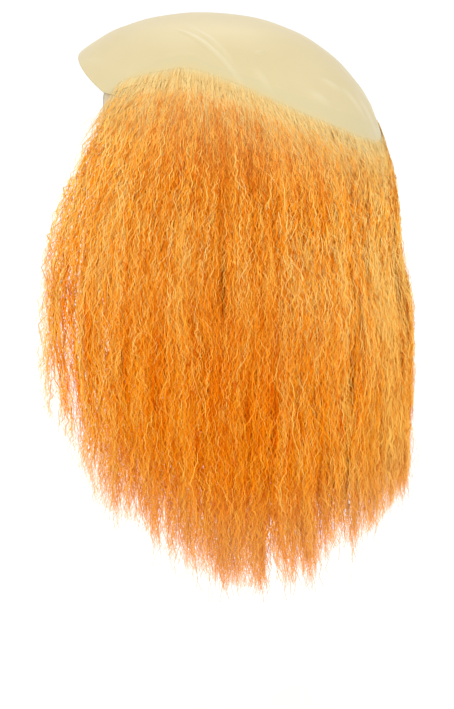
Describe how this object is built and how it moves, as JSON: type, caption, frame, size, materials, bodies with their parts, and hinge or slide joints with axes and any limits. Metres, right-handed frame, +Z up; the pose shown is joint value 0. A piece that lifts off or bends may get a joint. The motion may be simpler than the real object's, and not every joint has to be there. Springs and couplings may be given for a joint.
{
  "type": "costume wig",
  "caption": "Half-bald costume wig: latex crown on a net foundation with rows of crimped hair, pliable ear tabs and nape adjusters.",
  "frame": {"origin": "centre of the wearer's head, level with its widest girth, which is the centre of the wig's cap", "axes": "+Z up to the crown, -Y to the face, +X to the wearer's left"},
  "size_m": [0.1922, 0.1905, 0.29],
  "materials": {
    "latex": "thin matt cream latex, slightly mottled",
    "net": "beige wig net",
    "lace": "fine cream ventilating lace",
    "ribbon": "woven beige galloon ribbon",
    "weft": "sewn orange weft header",
    "hair": "crimped yak-type hair, soft sheen",
    "elastic": "ribbed off-white elastic",
    "stay": "white pliable stay",
    "tape": "white hook and loop tape"
  },
  "bodies": {
    "root": {"bald_top": "latex", "crown_binding": "ribbon", "net_left": "net", "net_right": "net", "net_back": "net", "back_seam_left": "ribbon", "back_seam_right": "ribbon", "front_binding_left": "ribbon", "front_binding_right": "ribbon", "ear_binding_left": "ribbon", "ear_binding_right": "ribbon", "nape_elastic": "elastic", "knotted_row": "lace", "hairline_hair": "hair", "weft_2": "weft", "hair_2": "hair", "weft_3": "weft", "hair_3": "hair", "weft_4": "weft", "hair_4": "hair", "nape_weft_5": "weft", "nape_hair_5": "hair", "nape_weft_6": "weft", "nape_hair_6": "hair", "loop_patch_left": "tape", "loop_patch_right": "tape", "strap_keeper_left": "ribbon", "strap_keeper_right": "ribbon"},
    "ear_tab_left": {"ear_tab_left": "net", "ear_stay_left": "stay"},
    "ear_tab_right": {"ear_tab_right": "net", "ear_stay_right": "stay"},
    "strap_left": {"adjuster_strap_left": "elastic"},
    "strap_right": {"adjuster_strap_right": "elastic"},
    "hook_left": {"hook_tab_left": "tape"},
    "hook_right": {"hook_tab_right": "tape"}
  },
  "joints": [
    {"name": "ear_tab_left_flex", "type": "hinge", "parent": "root", "child": "ear_tab_left", "pos_m": [0.0757, -0.023, 0.0097], "axis": [0.189, 0.982, 0], "range_deg": [-6, 12]},
    {"name": "adjuster_left_slide", "type": "hinge", "parent": "root", "child": "strap_left", "pos_m": [-0.005, 0.018, -0.046], "axis": [0, 0, 1], "range_deg": [0, 10]},
    {"name": "hook_left_peel", "type": "hinge", "parent": "strap_left", "child": "hook_left", "pos_m": [0.0318, 0.073, -0.046], "axis": [0, 0, 1], "range_deg": [0, 40]},
    {"name": "ear_tab_right_flex", "type": "hinge", "parent": "root", "child": "ear_tab_right", "pos_m": [-0.0757, -0.023, 0.0097], "axis": [0.189, -0.982, 0], "range_deg": [-6, 12]},
    {"name": "adjuster_right_slide", "type": "hinge", "parent": "root", "child": "strap_right", "pos_m": [0.005, 0.018, -0.046], "axis": [0, 0, -1], "range_deg": [0, 10]},
    {"name": "hook_right_peel", "type": "hinge", "parent": "strap_right", "child": "hook_right", "pos_m": [-0.0318, 0.073, -0.046], "axis": [0, 0, -1], "range_deg": [0, 40]}
  ]
}
